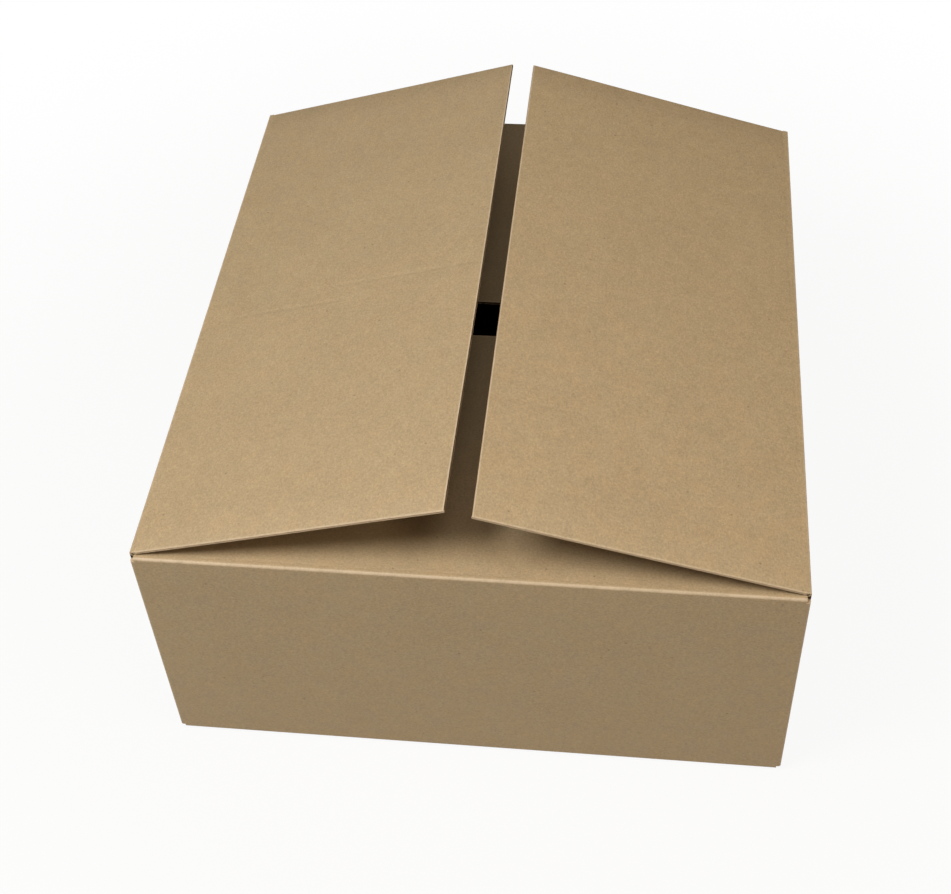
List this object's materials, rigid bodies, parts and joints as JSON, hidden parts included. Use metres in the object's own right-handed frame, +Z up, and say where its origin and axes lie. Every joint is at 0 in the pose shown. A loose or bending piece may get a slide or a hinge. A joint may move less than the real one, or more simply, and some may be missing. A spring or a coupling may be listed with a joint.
{
  "type": "cardboard box",
  "caption": "Low wide corrugated cardboard carton with a closed bottom, folded-in end flaps and two long hinged top flaps standing a little open.",
  "frame": {"origin": "centre of the base, on the surface that the carton stands on", "axes": "+X to the carton's right, +Y to its back along its longer side, +Z up"},
  "size_m": [0.6, 0.655, 0.3652],
  "materials": {
    "kraft_board": "matt"
  },
  "bodies": {
    "carton": {"carton_body": "kraft_board"},
    "left_flap": {"left_top_flap": "kraft_board"},
    "right_flap": {"right_top_flap": "kraft_board"}
  },
  "joints": [
    {"name": "left_flap_crease", "type": "hinge", "parent": "carton", "child": "left_flap", "pos_m": [-0.29965, 0, 0.28295], "axis": [0, -1, 0], "range_deg": [-15.9, 224.1]},
    {"name": "right_flap_crease", "type": "hinge", "parent": "carton", "child": "right_flap", "pos_m": [0.29965, 0, 0.28295], "axis": [0, 1, 0], "range_deg": [-15.3, 224.7]}
  ]
}
